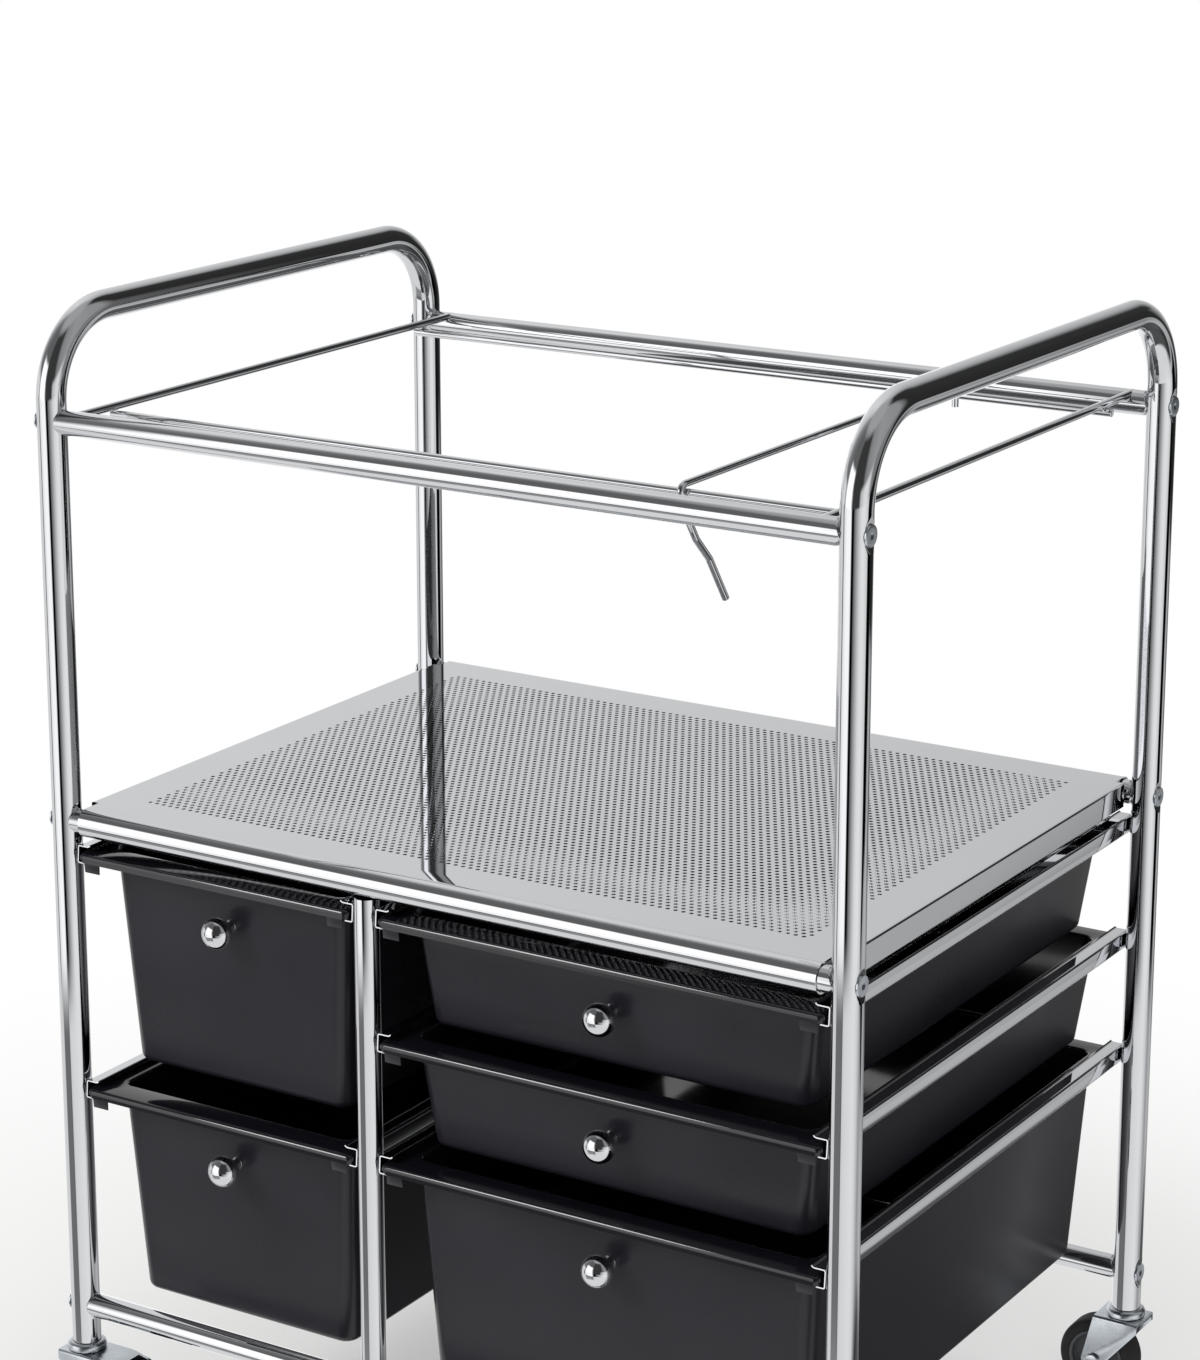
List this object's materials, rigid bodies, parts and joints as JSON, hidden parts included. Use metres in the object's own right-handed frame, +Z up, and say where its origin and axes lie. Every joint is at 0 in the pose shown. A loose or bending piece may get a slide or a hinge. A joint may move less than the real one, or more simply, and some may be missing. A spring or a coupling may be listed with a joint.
{
  "type": "mobile file cart",
  "caption": "Mobile file cart: chrome tube frame with hanging-file rack above a pressed shelf, columns of black pull-out drawers with ball knobs on channel runners, and swivel casters.",
  "frame": {"origin": "on the floor under the middle of the cart's outline", "axes": "+X to the right along the drawer fronts, +Y from front to rear, +Z up"},
  "size_m": [0.554, 0.4122, 0.712],
  "materials": {
    "chrome_tube": "bright chrome plate",
    "chrome_sheet": "chrome plate on pressed sheet",
    "chrome_knob": "bright chrome plate",
    "black_plastic": "moulded, satin",
    "zinc_steel": "bright zinc plate",
    "grey_nylon": "moulded, satin",
    "black_rubber": "matte"
  },
  "bodies": {
    "frame": {"left_side_frame": "chrome_tube", "right_side_frame": "chrome_tube", "rack_front_tube": "chrome_tube", "rack_rear_tube": "chrome_tube", "shelf_front_tube": "chrome_tube", "shelf_rear_tube": "chrome_tube", "base_front_tube": "chrome_tube", "base_rear_tube": "chrome_tube", "mid_front_post": "chrome_tube", "mid_rear_post": "chrome_tube", "left_file_rod": "chrome_tube", "right_file_rod": "chrome_tube", "front_file_wire": "chrome_tube", "rear_file_wire": "chrome_tube", "shelf_pan": "chrome_sheet", "left_upper_left_runner": "chrome_sheet", "left_upper_right_runner": "chrome_sheet", "left_lower_left_runner": "chrome_sheet", "left_lower_right_runner": "chrome_sheet", "right_upper_left_runner": "chrome_sheet", "right_upper_right_runner": "chrome_sheet", "right_middle_left_runner": "chrome_sheet", "right_middle_right_runner": "chrome_sheet", "right_lower_left_runner": "chrome_sheet", "right_lower_right_runner": "chrome_sheet", "front_left_caster_stem": "zinc_steel", "front_right_caster_stem": "zinc_steel", "rear_left_caster_stem": "zinc_steel", "rear_right_caster_stem": "zinc_steel"},
    "file_bar": {"sliding_file_bar": "chrome_tube"},
    "left_upper_drawer": {"left_upper_drawer": "black_plastic", "left_upper_knob": "chrome_knob"},
    "left_lower_drawer": {"left_lower_drawer": "black_plastic", "left_lower_knob": "chrome_knob"},
    "right_upper_drawer": {"right_upper_drawer": "black_plastic", "right_upper_knob": "chrome_knob"},
    "right_middle_drawer": {"right_middle_drawer": "black_plastic", "right_middle_knob": "chrome_knob"},
    "right_lower_drawer": {"right_lower_drawer": "black_plastic", "right_lower_knob": "chrome_knob"},
    "front_left_fork": {"front_left_caster_fork": "zinc_steel", "front_left_caster_axle": "zinc_steel"},
    "front_left_wheel": {"front_left_caster_hub": "grey_nylon", "front_left_caster_tyre": "black_rubber"},
    "front_left_brake": {"front_left_caster_brake_lever": "black_plastic"},
    "front_right_fork": {"front_right_caster_fork": "zinc_steel", "front_right_caster_axle": "zinc_steel"},
    "front_right_wheel": {"front_right_caster_hub": "grey_nylon", "front_right_caster_tyre": "black_rubber"},
    "front_right_brake": {"front_right_caster_brake_lever": "black_plastic"},
    "rear_left_fork": {"rear_left_caster_fork": "zinc_steel", "rear_left_caster_axle": "zinc_steel"},
    "rear_left_wheel": {"rear_left_caster_hub": "grey_nylon", "rear_left_caster_tyre": "black_rubber"},
    "rear_right_fork": {"rear_right_caster_fork": "zinc_steel", "rear_right_caster_axle": "zinc_steel"},
    "rear_right_wheel": {"rear_right_caster_hub": "grey_nylon", "rear_right_caster_tyre": "black_rubber"}
  },
  "joints": [
    {"name": "file_bar_slide", "type": "slide", "parent": "frame", "child": "file_bar", "axis": [1, 0, 0], "range_m": [-0.375, 0.09]},
    {"name": "left_upper_drawer_slide", "type": "slide", "parent": "frame", "child": "left_upper_drawer", "axis": [0, -1, 0], "range_m": [0, 0.3]},
    {"name": "left_lower_drawer_slide", "type": "slide", "parent": "frame", "child": "left_lower_drawer", "axis": [0, -1, 0], "range_m": [0, 0.3]},
    {"name": "right_upper_drawer_slide", "type": "slide", "parent": "frame", "child": "right_upper_drawer", "axis": [0, -1, 0], "range_m": [0, 0.3]},
    {"name": "right_middle_drawer_slide", "type": "slide", "parent": "frame", "child": "right_middle_drawer", "axis": [0, -1, 0], "range_m": [0, 0.3]},
    {"name": "right_lower_drawer_slide", "type": "slide", "parent": "frame", "child": "right_lower_drawer", "axis": [0, -1, 0], "range_m": [0, 0.3]},
    {"name": "front_left_swivel", "type": "hinge", "parent": "frame", "child": "front_left_fork", "pos_m": [-0.264, -0.1915, 0.055], "axis": [0, 0, 1], "continuous": true},
    {"name": "front_left_wheel_spin", "type": "hinge", "parent": "front_left_fork", "child": "front_left_wheel", "pos_m": [-0.248, -0.1915, 0.025], "axis": [0, 1, 0], "continuous": true},
    {"name": "front_left_brake_press", "type": "hinge", "parent": "front_left_fork", "child": "front_left_brake", "pos_m": [-0.22726, -0.1915, 0.04804], "axis": [0, 1, 0], "range_deg": [0, 18]},
    {"name": "front_right_swivel", "type": "hinge", "parent": "frame", "child": "front_right_fork", "pos_m": [0.264, -0.1915, 0.055], "axis": [0, 0, 1], "continuous": true},
    {"name": "front_right_wheel_spin", "type": "hinge", "parent": "front_right_fork", "child": "front_right_wheel", "pos_m": [0.248, -0.1915, 0.025], "axis": [0, 1, 0], "continuous": true},
    {"name": "front_right_brake_press", "type": "hinge", "parent": "front_right_fork", "child": "front_right_brake", "pos_m": [0.22726, -0.1915, 0.04804], "axis": [0, -1, 0], "range_deg": [0, 18]},
    {"name": "rear_left_swivel", "type": "hinge", "parent": "frame", "child": "rear_left_fork", "pos_m": [-0.264, 0.1915, 0.055], "axis": [0, 0, 1], "continuous": true},
    {"name": "rear_left_wheel_spin", "type": "hinge", "parent": "rear_left_fork", "child": "rear_left_wheel", "pos_m": [-0.248, 0.1915, 0.025], "axis": [0, 1, 0], "continuous": true},
    {"name": "rear_right_swivel", "type": "hinge", "parent": "frame", "child": "rear_right_fork", "pos_m": [0.264, 0.1915, 0.055], "axis": [0, 0, 1], "continuous": true},
    {"name": "rear_right_wheel_spin", "type": "hinge", "parent": "rear_right_fork", "child": "rear_right_wheel", "pos_m": [0.248, 0.1915, 0.025], "axis": [0, 1, 0], "continuous": true}
  ]
}
